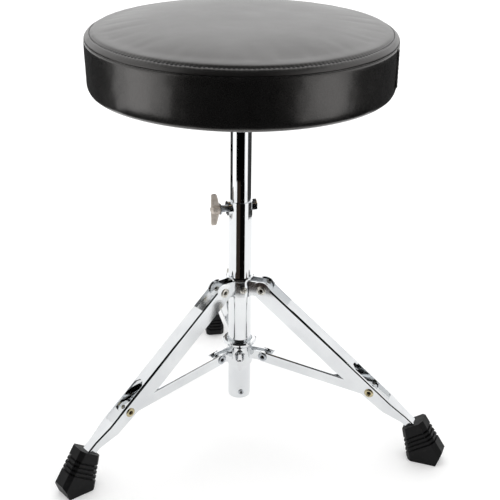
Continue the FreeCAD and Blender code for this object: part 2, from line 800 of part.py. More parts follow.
def leg_channel(number, azimuth):
    """Pressed channel leg, open below, with a window over the brace's end, pinched narrow for the boot."""
    body = new_body(f"leg_{number}", leg_frame(azimuth))
    pad(body, "XY_Plane", "2*leg_web", [leg_plan("0", "0", "tip_end")])
    pad(body, "XZ_Plane", "leg_width", [rectangle("0", "-leg_lower", "leg_taper_start", "0")])
    pad(body, "XZ_Plane", "leg_width",
        [[("leg_taper_start", "-leg_lower"), ("pinch_start", "-pinch_lower"), ("pinch_start", "0"),
          ("leg_taper_start", "0")]])
    pocket(body, "XZ_Plane", "2*leg_width",
           [[("leg_taper_start", "-leg_lower"), ("leg_taper_start", "-30"), ("tip_end+5", "-30"),
             ("tip_end+5", "leg_web-tip_depth"), ("leg_end", "leg_web-tip_depth"),
             ("pinch_start", "-pinch_lower")]])
    round_bends(body, "leg_bend", "leg_web")
    pad(body, "XZ_Plane", "leg_width", circles=[(("0", "0"), "2*leg_end_radius")])
    inside = leg_plan("leg_sheet", "-2*leg_end_radius", "tip_end-leg_sheet")
    pocket(body, "XY_Plane", "2*(leg_web-leg_sheet)", [inside])
    pocket(body, "XY_Plane", "2*leg_lower", [inside], one_side=True, upward=False)
    pocket(body, "XZ_Plane", "leg_width-2*leg_sheet",
           [rectangle("-2*leg_end_radius", "-2*leg_lower", "leg_web_start", "2*leg_lower")])
    side = "window_width/2"
    pocket(body, "XY_Plane", "4*leg_width",
           [[("window_start", "-2"), ("window_start+5", "-" + side), ("window_end-window_corner", "-" + side),
             ("window_end", "window_corner-" + side), ("window_end", f"{side}-window_corner"),
             ("window_end-window_corner", side), ("window_start+5", side), ("window_start", "2")]])
    pocket(body, "XZ_Plane", "2*leg_width", circles=[(("0", "0"), "rivet_shank+2*run_gap")])
    joint = body.newObject("PartDesign::Pocket", f"leg_{number}_stud_holes")
    sketch = new_sketch(body, "XZ_Plane")
    index = sketch.addGeometry(Part.Circle(Vector(LEG_TO_JOINT, 0, 0), Vector(0, 0, 1),
                                           size("rivet_shank") / 2))
    sketch.addConstraint(Sketcher.Constraint("PointOnObject", index, 3, -1))
    joint.Profile = sketch
    joint.SideType = "Symmetric"
    joint.Length = 4 * size("leg_width")
    doc.recompute()
    return body


def brace(number, azimuth):
    """Light channel between the sliding collar and the leg. Its outer end stays free at the leg's studs."""
    body = new_body(f"brace_{number}", brace_frame(azimuth))
    end = f"{BRACE_LENGTH:.4f}"
    pad(body, "XZ_Plane", "brace_width", [rectangle("0", "-brace_half", end, "brace_half")])
    round_bends(body, "brace_bend", "brace_half")
    pad(body, "XZ_Plane", "brace_width", circles=[(("0", "0"), "2*brace_half")])
    pad(body, "XZ_Plane", "brace_width", circles=[((end, "0"), "2*brace_half")])
    pocket(body, "XZ_Plane", "brace_width-2*brace_sheet",
           [[("-40", "-40"), (f"{end}+40", "-40"), (f"{end}+40", "40"), ("brace_web_end", "40"),
             ("brace_web_end", "brace_half-brace_sheet"), ("brace_web_start", "brace_half-brace_sheet"),
             ("brace_web_start", "40"), ("-40", "40")]])
    pocket(body, "XZ_Plane", "2*leg_width", circles=[(("0", "0"), "rivet_shank+2*run_gap")])
    pocket(body, "XZ_Plane", "2*leg_width", circles=[((end, "0"), "rivet_shank-1")])
    return body


def rivet_head(inner, frame, side):
    """Tubular rivet's head, dished in the middle, with its flat side at the given distance along Y."""
    thick = size("rivet_head_thick")
    outer = size("rivet_head")
    face = Part.Face(Part.Wire([
        line(Vector(0, 0, 0), Vector(outer, 0, 0)),
        arc(Vector(outer, 0, 0), Vector(outer - 0.4, thick * 0.75, 0), Vector(outer - 1.3, thick, 0)),
        line(Vector(outer - 1.3, thick, 0), Vector(1.9, thick, 0)),
        line(Vector(1.9, thick, 0), Vector(1.5, 0.2, 0)),
        line(Vector(1.5, 0.2, 0), Vector(0, 0.2, 0)),
        line(Vector(0, 0.2, 0), Vector(0, 0, 0))]))
    head = face.revolve(Vector(), Vector(0, 1, 0), 360)
    head.Placement = Placement(Vector(0, inner, 0), Rotation())
    if side < 0:
        head = head.mirror(Vector(), Vector(0, 1, 0))
    return head.transformGeometry(frame.toMatrix())


def through_rivets(label, frames, ear_half, flange_half):
    """Rivets through a pair of ears, with heads just clear of the channel that turns on them."""
    solids = []
    for frame in frames:
        inner = flange_half + size("side_gap")
        shank = Part.makeCylinder(size("rivet_shank") / 2, 2 * inner, Vector(0, -inner, 0), Vector(0, 1, 0))
        rivet = shank.transformGeometry(frame.toMatrix())
        for side in (1, -1):
            rivet = rivet.fuse(rivet_head(inner, frame, side))
        solids.append(rivet.removeSplitter())
    return solid_feature(label, Part.makeCompound(solids))


def leg_studs(number, azimuth):
    """Two short rivets in the leg's sides at the brace's end, flush inside."""
    frame = leg_frame(azimuth).multiply(Placement(Vector(LEG_TO_JOINT, 0, 0), Rotation()))
    outer = size("leg_width") / 2
    inner = outer - size("leg_sheet")
    solids = []
    for side in (1, -1):
        shank = Part.makeCylinder(size("rivet_shank") / 2, outer - inner, Vector(0, side * inner, 0),
                                  Vector(0, side, 0)).transformGeometry(frame.toMatrix())
        solids.append(shank.fuse(rivet_head(outer, frame, side)).removeSplitter())
    return solid_feature(f"leg_studs_{number}", Part.makeCompound(solids))


def boot_outline(inset):
    """Side view of a boot as (radius, height), shrunk by a given depth."""
    corners = [at(size("boot_top_inner"), size("boot_top_inner_height")),
               at(size("boot_top_outer"), size("boot_top_outer_height")),
               at(size("boot_nose"), size("boot_nose_height")),
               at(size("boot_toe"), 0), at(size("boot_heel"), 0),
               at(size("boot_heel_corner"), size("boot_heel_height"))]
    wire = Part.Wire([line(corners[index], corners[(index + 1) % len(corners)])
                      for index in range(len(corners))])
    return wire.makeOffset2D(-inset) if inset else wire


def boot_block(inset):
    width = size("boot_width") - 2 * inset
    face = Part.Face(boot_outline(inset))
    block = face.extrude(Vector(0, width, 0))
    block.translate(Vector(0, -width / 2, 0))
    return block


def boot(number, azimuth):
    """Ribbed rubber boot, tilted on the leg's tip, with a flat tread on the floor."""
    block = boot_block(0.0)
    block = block.makeChamfer(size("boot_chamfer"), long_edges(block))
    core = boot_block(size("rib_depth"))
    core = core.makeChamfer(size("boot_chamfer"), long_edges(core))
    slope = tilt(size("boot_top_outer") - size("boot_top_inner"),
                 size("boot_top_inner_height") - size("boot_top_outer_height"))
    start = at(size("boot_top_inner"), size("boot_top_inner_height"))
    grooves = []
    for index in range(BOOT_RIBS):
        depth = size("rib_first") + index * size("rib_pitch")
        slab = Part.makeBox(90, 60, size("rib_groove"), Vector(-40, -30, -depth - size("rib_groove")))
        slab.Placement = Placement(start, Rotation(Vector(0, 1, 0), slope)).multiply(slab.Placement)
        grooves.append(slab)
    ribbed = block
    for slab in grooves:
        ribbed = ribbed.cut(slab.cut(core))
    frame = around(-azimuth).multiply(leg_frame(azimuth))
    gap = size("soft_gap")
    width = size("tip_width") + 2 * gap
    socket = Part.makeBox(size("tip_end") - size("leg_end") + 2 * gap + 6, width,
                          size("tip_depth") + 2 * gap,
                          Vector(size("leg_end") - 6, -width / 2,
                                 size("leg_web") - size("tip_depth") - gap))
    socket.Placement = frame.multiply(socket.Placement)
    return solid_feature(f"boot_{number}", ribbed.cut(socket).removeSplitter(), around(azimuth))


def long_edges(block):
    """The edges of a boot's two sides, apart from those at the floor."""
    chosen = []
    for edge in block.Edges:
        first, second = edge.Vertexes[0].Point, edge.Vertexes[-1].Point
        along_side = abs(first.y - second.y) < 0.01
        on_slope = min(first.z, second.z) < size("boot_nose_height") + 3 and max(first.z, second.z) > 30
        if along_side and on_slope:
            chosen.append(edge)
    return chosen


# ---------------------------------------------------------------- assembly

def all_pieces():
    pieces = [outer_tube(), height_boss(), guide_screw(), column_plug(), column_rivet(), seat_post(),
              post_top_plug(), post_foot_plug(), seat_top_cover(), seat_side_band(), seat_piping(),
              band_join(), foam_pad(), seat_board(), underside_cloth(), seat_plate(), socket_tube(),
              swivel_bush(), thrust_washer(), socket_screw(), plate_screws(), tee_nuts(),
              height_wing_bolt(), lock_wing_screw(), upper_collar(), lower_collar(), lock_boss(),
              collar_screw()]
    pieces.append(screw_washer("height_bolt_washer", BOLT_AZIMUTH, "bolt_height", "bolt_head",
                               "bolt_shank", "hub_radius"))
    pieces.append(screw_washer("lock_screw_washer", LOCK_AZIMUTH, "lock_height", "lock_head",
                               "lock_shank", "lock_hub"))
    leg_pivots = [leg_frame(azimuth) for azimuth in LEG_AZIMUTHS]
    brace_pivots = [brace_frame(azimuth) for azimuth in LEG_AZIMUTHS]
    pieces.append(through_rivets("leg_pivot_rivets", leg_pivots, size("upper_ear_half"),
                                 size("leg_width") / 2))
    pieces.append(through_rivets("brace_pivot_rivets", brace_pivots, size("lower_ear_half"),
                                 size("brace_width") / 2))
    for number, azimuth in enumerate(LEG_AZIMUTHS, start=1):
        pieces += [leg_channel(number, azimuth), brace(number, azimuth), leg_studs(number, azimuth),
                   boot(number, azimuth)]
    return pieces


def check(pieces):
    doc.recompute()
    for item in doc.Objects:
        if "Invalid" in item.State or "Error" in item.State:
            raise RuntimeError(f"{item.Label} failed: {item.State}")
    for item in pieces:
        if item.Shape.isNull() or not item.Shape.isValid() or not item.Shape.Solids:
            raise RuntimeError(f"{item.Label} has no sound shape")


parts = all_pieces()
check(parts)
os.makedirs("parts", exist_ok=True)
for item in parts:
    item.Shape.exportStep(os.path.join("parts", item.Label + ".step"))
print(len(parts), "pieces written")
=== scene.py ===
import math

import bpy
from mathutils import Matrix, Vector, noise
from mathutils.bvhtree import BVHTree


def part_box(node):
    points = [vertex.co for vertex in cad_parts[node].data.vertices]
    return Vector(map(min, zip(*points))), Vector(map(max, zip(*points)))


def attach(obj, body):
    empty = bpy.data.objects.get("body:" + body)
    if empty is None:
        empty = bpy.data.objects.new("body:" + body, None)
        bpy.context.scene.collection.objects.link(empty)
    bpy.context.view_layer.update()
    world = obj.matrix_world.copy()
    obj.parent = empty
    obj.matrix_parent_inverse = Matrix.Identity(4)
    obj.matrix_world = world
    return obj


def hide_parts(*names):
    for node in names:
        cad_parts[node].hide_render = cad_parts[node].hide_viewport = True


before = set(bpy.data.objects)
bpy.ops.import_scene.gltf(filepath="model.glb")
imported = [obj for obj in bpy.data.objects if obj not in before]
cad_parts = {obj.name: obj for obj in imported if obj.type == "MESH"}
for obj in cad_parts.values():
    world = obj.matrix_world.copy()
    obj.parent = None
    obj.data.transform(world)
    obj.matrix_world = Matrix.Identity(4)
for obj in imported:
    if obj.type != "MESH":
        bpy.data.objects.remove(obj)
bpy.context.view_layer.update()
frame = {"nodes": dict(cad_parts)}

MM = 0.001

# ---------------------------------------------------------------- sizes in millimetres, on the part's axes

SEAT_FOOT = 398.0
SEAM_HEIGHT = 449.5
STITCH_RADIUS = 151.0
STITCH_HEIGHT = 456.8
CROWN_HEIGHT = 470.0
PANEL_THICK = 2.2
STITCHES = 216
STAPLES = 28
JOIN_AZIMUTH = -25.0
BOLT_AZIMUTH = 188.0
BOLT_HEIGHT = 266.0
LOCK_AZIMUTH = 262.0
LOCK_HEIGHT = 91.0
SCREW_AZIMUTH = 277.0
LEG_AZIMUTHS = (90.0, 210.0, 330.0)
LEG_PIVOT = (28.0, 175.0)
BRACE_PIVOT = (30.0, 91.5)
LEG_JOINT = (154.5, 74.2)
BOLT_HEAD = 23.4
LOCK_HEAD = 20.4
PLATE_SCREW_RADIUS = 62.0
PLATE_FOOT = 396.7

# ---------------------------------------------------------------- the stuffing form, in millimetres and frames

FORM_DROP = 1.2
FORM_TRAVEL = 1.4
FORM_VOXEL = 5.0
FORM_FRAMES = 20
FORM_HELD_RADIUS = 143.0
FORM_FADE_RADIUS = 148.0

# ---------------------------------------------------------------- the view and the set, in metres and degrees

VIEW_AZIMUTH = -99.2146
CAMERA_OUT = 1.05979
CAMERA_UP = 0.6956
CAMERA_LENS = 77.05
CAMERA_TURN = -9.7875
CAMERA_NOD = 24.372
CAMERA_ROLL = 0.7005
CARD_HEIGHT = 0.0006
LOW_CARD_HEIGHT = 0.3
WORLD_GLOW = 1.13
FLOOR_GLOW = 0.1


# ---------------------------------------------------------------- camera

def make_camera():
    """A 77 mm lens, a little over a metre out and looking 24 degrees down on the column."""
    data = bpy.data.cameras.new("camera")
    camera = bpy.data.objects.new("camera", data)
    bpy.context.scene.collection.objects.link(camera)
    data.sensor_width = 36.0
    data.lens = CAMERA_LENS
    data.clip_start = 0.01
    data.clip_end = 50.0
    out = math.radians(VIEW_AZIMUTH)
    camera.location = (CAMERA_OUT * math.cos(out), CAMERA_OUT * math.sin(out), CAMERA_UP)
    turn = Matrix.Rotation(math.radians(CAMERA_TURN), 4, "Z")
    nod = Matrix.Rotation(math.radians(90 - CAMERA_NOD), 4, "X")
    roll = Matrix.Rotation(math.radians(CAMERA_ROLL), 4, "Z")
    camera.rotation_euler = (turn @ nod @ roll).to_euler()
    bpy.context.scene.camera = camera


# ---------------------------------------------------------------- materials

def linear(code):
    """An sRGB hex colour as linear RGBA."""
    parts = [int(code[at:at + 2], 16) / 255 for at in (1, 3, 5)]
    return tuple(p / 12.92 if p <= 0.04045 else ((p + 0.055) / 1.055) ** 2.4 for p in parts) + (1.0,)


def node(material, kind, settings=None, inputs=None):
    """Add one node. Each input is given a value, or another node's output to link."""
    made = material.node_tree.nodes.new(kind)
    for name, value in (settings or {}).items():
        setattr(made, name, value)
    for name, value in (inputs or {}).items():
        if isinstance(value, bpy.types.NodeSocket):
            material.node_tree.links.new(value, made.inputs[name])
        else:
            made.inputs[name].default_value = value
    return made


def new_material(name):
    """An empty material, and the object's own coordinates to lay its textures on."""
    material = bpy.data.materials.new(name)
    material.use_nodes = True
    material.node_tree.nodes.clear()
    place = node(material, "ShaderNodeTexCoord").outputs["Object"]
    return material, place


def close_material(material, shader):
    """Link the shader to the surface."""
    node(material, "ShaderNodeOutputMaterial", inputs={"Surface": shader.outputs["BSDF"]})
    return material


def mapped(material, value, low_in, high_in, low_out, high_out):
    """A value moved from one range to another."""
    return node(material, "ShaderNodeMapRange", {"clamp": True}, {
        "Value": value, "From Min": low_in, "From Max": high_in,
        "To Min": low_out, "To Max": high_out}).outputs["Result"]


def speckle(material, place, pitch, detail=2.0, roughness=0.5):
    """Noise whose grains are about as far apart as the pitch, in millimetres."""
    return node(material, "ShaderNodeTexNoise", None, {
        "Vector": place, "Scale": 1 / (pitch * MM), "Detail": detail, "Roughness": roughness}).outputs["Fac"]


def mixed(material, factor, first, second):
    """Two colours mixed by a factor."""
    return node(material, "ShaderNodeMix", {"data_type": "RGBA"},
                {0: factor, 6: first, 7: second}).outputs[2]


def raised(material, height, distance, strength=1.0, under=None):
    """A bump whose full height is the distance in millimetres."""
    inputs = {"Height": height, "Distance": distance * MM, "Strength": strength}
    if under:
        inputs["Normal"] = under
    return node(material, "ShaderNodeBump", None, inputs).outputs["Normal"]


def chrome(name, shine, tint, wave):
    """Chrome plate. Mirror bright, with the faint waviness of the steel under it and a film of handling."""
    material, place = new_material(name)
    film = speckle(material, place, 45.0, 3.0, 0.6)
    dust = speckle(material, place, 1.6, 2.0)
    shade = mixed(material, mapped(material, film, 0.35, 0.7, 0.0, 1.0), linear(tint), linear("#E3E5E6"))
    blur = node(material, "ShaderNodeMath", {"operation": "ADD"},
                {0: mapped(material, film, 0.4, 0.75, shine, shine + 0.05),
                 1: mapped(material, dust, 0.62, 0.8, 0.0, 0.05)}).outputs[0]
    ripple = raised(material, speckle(material, place, 24.0, 1.0), wave)
    shader = node(material, "ShaderNodeBsdfPrincipled", None, {
        "Base Color": shade, "Metallic": 1.0, "Roughness": blur, "Normal": ripple})
    return close_material(material, shader)


def plated(name, base, stain, blur, grit, metal=1.0):
    """Zinc or nickel plate. Satin, with a fine tumbled grit and slight clouding."""
    material, place = new_material(name)
    cloud = speckle(material, place, 5.0, 3.0)
    shade = mixed(material, mapped(material, cloud, 0.3, 0.7, 0.0, 1.0), linear(base), linear(stain))
    surface = raised(material, speckle(material, place, grit, 2.0), 0.02, 0.6)
    shader = node(material, "ShaderNodeBsdfPrincipled", None, {
        "Base Color": shade, "Metallic": metal,
        "Roughness": mapped(material, cloud, 0.3, 0.7, blur, blur + 0.12), "Normal": surface})
    return close_material(material, shader)


def vinyl(name, puckered, blur_low, blur_high):
    """Calendered PVC upholstery vinyl. Black, satin, with an embossed leather grain of about 1 mm."""
    material, place = new_material(name)
    cells = node(material, "ShaderNodeTexVoronoi", {"feature": "DISTANCE_TO_EDGE"},
                 {"Vector": place, "Scale": 1 / (1.25 * MM), "Randomness": 0.95}).outputs["Distance"]
    grain = mapped(material, cells, 0.0, 0.16, 0.0, 1.0)
    surface = raised(material, grain, 0.035, 0.5)
    surface = raised(material, speckle(material, place, 0.5, 3.0), 0.02, 0.5, surface)
    slack = speckle(material, place, 38.0, 2.0)
    surface = raised(material, slack, 0.9, 0.5, surface)
    if puckered:
        surface = pucker(material, place, surface)
    worn = speckle(material, place, 60.0, 3.0, 0.6)
    shade = mixed(material, mapped(material, worn, 0.35, 0.75, 0.0, 1.0), linear("#090909"), linear("#101010"))
    blur = node(material, "ShaderNodeMath", {"operation": "ADD"},
                {0: mapped(material, worn, 0.3, 0.75, blur_low, blur_high),
                 1: mapped(material, grain, 0.0, 1.0, 0.06, 0.0)}).outputs[0]
    shader = node(material, "ShaderNodeBsdfPrincipled", None, {
        "Base Color": shade, "Roughness": blur, "Normal": surface})
    shader.inputs["IOR"].default_value = 1.53
    shader.inputs["Specular Tint"].default_value = linear("#FFF8F3")
    shader.inputs["Coat Weight"].default_value = 0.56
    shader.inputs["Coat Roughness"].default_value = blur_low
    shader.inputs["Coat IOR"].default_value = 1.55
    return close_material(material, shader)


def pucker(material, place, under):
    """Small gathers between one stitch and the next, that fade out within 4 mm of the stitches."""
    split = node(material, "ShaderNodeSeparateXYZ", None, {"Vector": place})
    angle = node(material, "ShaderNodeMath", {"operation": "ARCTAN2"},
                 {0: split.outputs["Y"], 1: split.outputs["X"]}).outputs[0]
    count = node(material, "ShaderNodeMath", {"operation": "MULTIPLY"},
                 {0: angle, 1: float(STITCHES)}).outputs[0]
    wave = node(material, "ShaderNodeMath", {"operation": "COSINE"}, {0: count}).outputs[0]
    flat = node(material, "ShaderNodeCombineXYZ", None,
                {"X": split.outputs["X"], "Y": split.outputs["Y"]}).outputs["Vector"]
    radius = node(material, "ShaderNodeVectorMath", {"operation": "LENGTH"}, {0: flat}).outputs["Value"]
    off = node(material, "ShaderNodeMath", {"operation": "SUBTRACT"},
               {0: radius, 1: STITCH_RADIUS * MM}).outputs[0]
    away = node(material, "ShaderNodeMath", {"operation": "ABSOLUTE"}, {0: off}).outputs[0]
    near = mapped(material, away, 0.0, 4.0 * MM, 1.0, 0.0)
    height = node(material, "ShaderNodeMath", {"operation": "MULTIPLY"}, {0: wave, 1: near}).outputs[0]
    return raised(material, height, 0.16, 0.8, under)


def rubber(name):
    """Moulded natural rubber. Matt black, with a fine spark-eroded mould texture and grey scuffs."""
    material, place = new_material(name)
    texture = speckle(material, place, 0.45, 3.0)
    scuff = speckle(material, place, 7.0, 5.0, 0.7)
    shade = mixed(material, mapped(material, scuff, 0.56, 0.74, 0.0, 1.0), linear("#0B0B0C"), linear("#1B1B1B"))
    shader = node(material, "ShaderNodeBsdfPrincipled", None, {
        "Base Color": shade, "Roughness": mapped(material, scuff, 0.4, 0.75, 0.42, 0.58),
        "Normal": raised(material, texture, 0.05, 0.5)})
    shader.inputs["IOR"].default_value = 1.52
    shader.inputs["Specular IOR Level"].default_value = 0.13
    return close_material(material, shader)


def smooth_black(name, base, blur, orange_peel, pitch):
    """Black nylon or stove enamel. An even gloss over a slight orange peel."""
    material, place = new_material(name)
    cloud = speckle(material, place, 30.0, 3.0)
    shade = mixed(material, mapped(material, cloud, 0.3, 0.8, 0.0, 1.0), linear(base), linear("#1D1D1E"))
    shader = node(material, "ShaderNodeBsdfPrincipled", None, {
        "Base Color": shade, "Roughness": mapped(material, cloud, 0.3, 0.7, blur, blur + 0.1),
        "Normal": raised(material, speckle(material, place, pitch, 1.0), orange_peel)})
    shader.inputs["IOR"].default_value = 1.5
    return close_material(material, shader)


def birch(name):
    """Birch plywood. Pale rotary-cut face with long soft figure, and thin plies on its edge."""
    material, place = new_material(name)
    stretched = node(material, "ShaderNodeMapping", None,
                     {"Vector": place, "Scale": (1.0, 0.06, 9.0)}).outputs["Vector"]
    figure = speckle(material, stretched, 9.0, 4.0, 0.6)
    pores = speckle(material, stretched, 0.9, 2.0)
    shade = mixed(material, mapped(material, figure, 0.35, 0.7, 0.0, 1.0), linear("#D8BE93"), linear("#BD9A68"))
    shader = node(material, "ShaderNodeBsdfPrincipled", None, {
        "Base Color": shade, "Roughness": 0.62, "Normal": raised(material, pores, 0.08, 0.5)})
    return close_material(material, shader)


def felted(name, base, lint):
    """Non-woven polypropylene cloth. Dull black, with point-bonded dimples 1.5 mm apart."""
    material, place = new_material(name)
    dimples = node(material, "ShaderNodeTexVoronoi", {"feature": "F1"},
                   {"Vector": place, "Scale": 1 / (1.5 * MM), "Randomness": 0.15}).outputs["Distance"]
    fibres = speckle(material, place, 0.35, 4.0, 0.7)
    shade = mixed(material, mapped(material, fibres, 0.45, 0.75, 0.0, 1.0), linear(base), linear(lint))
    surface = raised(material, mapped(material, dimples, 0.1, 0.45, 0.0, 1.0), 0.12, 0.7)
    shader = node(material, "ShaderNodeBsdfPrincipled", None, {
        "Base Color": shade, "Roughness": 0.88, "Normal": raised(material, fibres, 0.08, 0.6, surface)})
    shader.inputs["Sheen Weight"].default_value = 0.2
    return close_material(material, shader)


def thread(name):
    """Bonded nylon sewing thread. Black, with a fine uneven twist."""
    material, place = new_material(name)
    twist = speckle(material, place, 0.4, 1.0)
    shader = node(material, "ShaderNodeBsdfPrincipled", None, {
        "Base Color": linear("#2A2A2C"), "Roughness": 0.42, "Normal": raised(material, twist, 0.06, 0.6)})
    return close_material(material, shader)


# ---------------------------------------------------------------- modelling

def deselect():
    """Leave any edit, with nothing selected."""
    if bpy.context.object and bpy.context.object.mode != "OBJECT":
        bpy.ops.object.mode_set(mode="OBJECT")
    bpy.ops.object.select_all(action="DESELECT")


def take(piece):
    """Select one piece alone and make it active."""
    deselect()
    bpy.context.view_layer.objects.active = piece
    piece.select_set(True)


def edit_all(piece):
    """Open one piece for editing, with everything in it selected."""
    take(piece)
    bpy.ops.object.mode_set(mode="EDIT")
    bpy.ops.mesh.select_all(action="SELECT")


def leave_edit():
    """Close the piece that is open for editing."""
    bpy.ops.object.mode_set(mode="OBJECT")


def apply_all(piece):
    """Apply the piece's modifiers in their order."""
    take(piece)
    for modifier in list(piece.modifiers):
        bpy.ops.object.modifier_apply(modifier=modifier.name)


def weld(piece, gap=0.002):
    """Merge doubles and turn all faces outward."""
    edit_all(piece)
    bpy.ops.mesh.remove_doubles(threshold=gap * MM)
    bpy.ops.mesh.normals_make_consistent(inside=False)
    leave_edit()


def smooth(piece, degrees=35.0):
    """Shade smooth across every edge that bends less than this."""
    take(piece)
    bpy.ops.object.shade_smooth_by_angle(angle=math.radians(degrees))


def settle(piece, matrix=None):
    """Leave the object at the origin, with its place in its mesh."""
    piece.data.transform((matrix or Matrix.Identity(4)) @ piece.matrix_world)
    piece.matrix_world = Matrix.Identity(4)
    return piece


def turned(name, outline, steps=96, closed=True):
    """Spin an outline of (radius, height) points about Z, from one extruded vertex."""
    deselect()
    bpy.ops.mesh.primitive_plane_add(size=MM, location=(0, 0, 0))
    piece = bpy.context.object
    piece.name = name
    bpy.ops.object.mode_set(mode="EDIT")
    bpy.ops.mesh.merge(type="CENTER")
    start = Vector((outline[0][0] * MM, 0, outline[0][1] * MM))
    bpy.ops.transform.translate(value=start)
    points = list(outline[1:]) + ([outline[0]] if closed else [])
    here = start
    for radius, height in points:
        there = Vector((radius * MM, 0, height * MM))
        bpy.ops.mesh.extrude_region_move(TRANSFORM_OT_translate={"value": there - here})
        here = there
    bpy.ops.mesh.select_all(action="SELECT")
    bpy.ops.mesh.spin(steps=steps, angle=2 * math.pi, center=(0, 0, 0), axis=(0, 0, 1))
    leave_edit()
    weld(piece)
    return piece


def block(name, low_corner, high_corner):
    """A box between two corners in millimetres, ready to shape."""
    deselect()
    centre = [(a + b) / 2 * MM for a, b in zip(low_corner, high_corner)]
    span = [(b - a) * MM for a, b in zip(low_corner, high_corner)]
    bpy.ops.mesh.primitive_cube_add(size=1.0, location=centre, scale=span)
    bpy.ops.object.transform_apply(location=True, rotation=True, scale=True)
    piece = bpy.context.object
    piece.name = name
    return piece


def bevel(piece, width, segments=3, degrees=32.0):
    """Roll every edge that bends more than this, to a width in millimetres."""
    edge = piece.modifiers.new("rolled_edges", "BEVEL")
    edge.width = width * MM
    edge.segments = segments
    edge.limit_method = "ANGLE"
    edge.angle_limit = math.radians(degrees)
    edge.use_clamp_overlap = True
    apply_all(piece)


def subdivided(piece, levels):
    """Round the piece by subdividing it."""
    finer = piece.modifiers.new("finer", "SUBSURF")
    finer.levels = levels
    finer.render_levels = levels
    apply_all(piece)


def cut(piece, tool):
    """Cut one solid out of another."""
    boolean = piece.modifiers.new("cut", "BOOLEAN")
    boolean.operation = "DIFFERENCE"
    boolean.solver = "EXACT"
    boolean.object = tool
    apply_all(piece)
    bpy.data.objects.remove(tool)


def join(name, pieces):
    """Make several pieces one object."""
    deselect()
    for piece in pieces:
        piece.select_set(True)
    bpy.context.view_layer.objects.active = pieces[0]
    if len(pieces) > 1:
        bpy.ops.object.join()
    pieces[0].name = name
    return pieces[0]


def finish_piece(piece, material, body, slot_name, *nodes):
    """Give a piece its finish and its body, and hide the CAD nodes that it stands for."""
    piece.data.materials.clear()
    piece.data.materials.append(material)
    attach(piece, body)
    if nodes:
        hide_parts(*nodes)


def from_node(name, new_name):
    """A welded copy of a CAD node, with its flat faces whole again."""
    source = frame["nodes"][name]
    piece = bpy.data.objects.new(new_name, source.data.copy())
    bpy.context.scene.collection.objects.link(piece)
    take(piece)
    bpy.ops.mesh.customdata_custom_splitnormals_clear()
    edit_all(piece)
    bpy.ops.mesh.remove_doubles(threshold=0.002 * MM)
    bpy.ops.mesh.dissolve_limited(angle_limit=math.radians(1.0))
    leave_edit()
    return piece


def softened(name, new_name, width, segments=2, degrees=32.0):
    """A copy of a CAD node with rolled edges, as pressing, casting or moulding leaves them."""
    piece = from_node(name, new_name)
    bevel(piece, width, segments, degrees)
    whole = piece.modifiers.new("whole_faces_split", "TRIANGULATE")
    whole.min_vertices = 5
    apply_all(piece)
    smooth(piece)
    flat = piece.modifiers.new("flat_faces_stay_flat", "WEIGHTED_NORMAL")
    flat.weight = 80
    flat.keep_sharp = True
    apply_all(piece)
    return piece


def along(azimuth, height, outward=0.0):
    """Frame with Z pointing out from the column at an azimuth, X along it sideways, Y up."""
    turn = Matrix.Rotation(math.radians(azimuth), 4, "Z")
    stand = Matrix(((0, 0, 1, 0), (1, 0, 0, 0), (0, 1, 0, 0), (0, 0, 0, 1)))
    move = Matrix.Translation((0, 0, height * MM))
    return move @ turn @ stand @ Matrix.Translation((0, 0, outward * MM))


# ---------------------------------------------------------------- seat

def crown_height(radius):
    """Height of the top at a radius: nearly flat foam in the middle, drawn down round the stitches."""
    share = radius / STITCH_RADIUS
    dome = 0.55 * share ** 2 + 0.2 * share ** 6 + 0.25 * share ** 16
    return CROWN_HEIGHT - (CROWN_HEIGHT - STITCH_HEIGHT) * dome


def stuffed_form():
    """The stuffing under the top: a closed pad, held round its edge and blown up as cloth."""
    outline = [(radius, crown_height(radius) - FORM_DROP) for radius in (0, 30, 60, 85, 105, 120, 132, 142)]
    outline += [(150, STITCH_HEIGHT - 1.4), (150, SEAM_HEIGHT), (0, SEAM_HEIGHT)]
    form = turned("stuffing", outline, 96, closed=False)
    even = form.modifiers.new("even_mesh", "REMESH")
    even.mode = "VOXEL"
    even.voxel_size = FORM_VOXEL * MM
    apply_all(form)
    held = form.vertex_groups.new(name="held")
    edge = [v.index for v in form.data.vertices
            if v.co.z < (STITCH_HEIGHT - 2) * MM or math.hypot(v.co.x, v.co.y) > FORM_HELD_RADIUS * MM]
    held.add(edge, 1.0, "REPLACE")
    start = [v.co.copy() for v in form.data.vertices]
    cloth = form.modifiers.new("cloth", "CLOTH")
    cloth.settings.vertex_group_mass = "held"
    cloth.settings.use_pressure = True
    cloth.settings.uniform_pressure_force = 4.0
    cloth.settings.effector_weights.gravity = 0.0
    cloth.point_cache.frame_start = 1
    cloth.point_cache.frame_end = FORM_FRAMES
    for step in range(1, FORM_FRAMES + 1):
        bpy.context.scene.frame_set(step)
    apply_all(form)
    bpy.context.scene.frame_set(1)
    most = FORM_TRAVEL * MM
    for vertex, place in zip(form.data.vertices, start):
        move = vertex.co - place
        if move.length > most:
            vertex.co = place + move * (most / move.length)
    subdivided(form, 1)
    shape = BVHTree.FromPolygons([v.co for v in form.data.vertices], [f.vertices for f in form.data.polygons])
    bpy.data.objects.remove(form)
    return shape


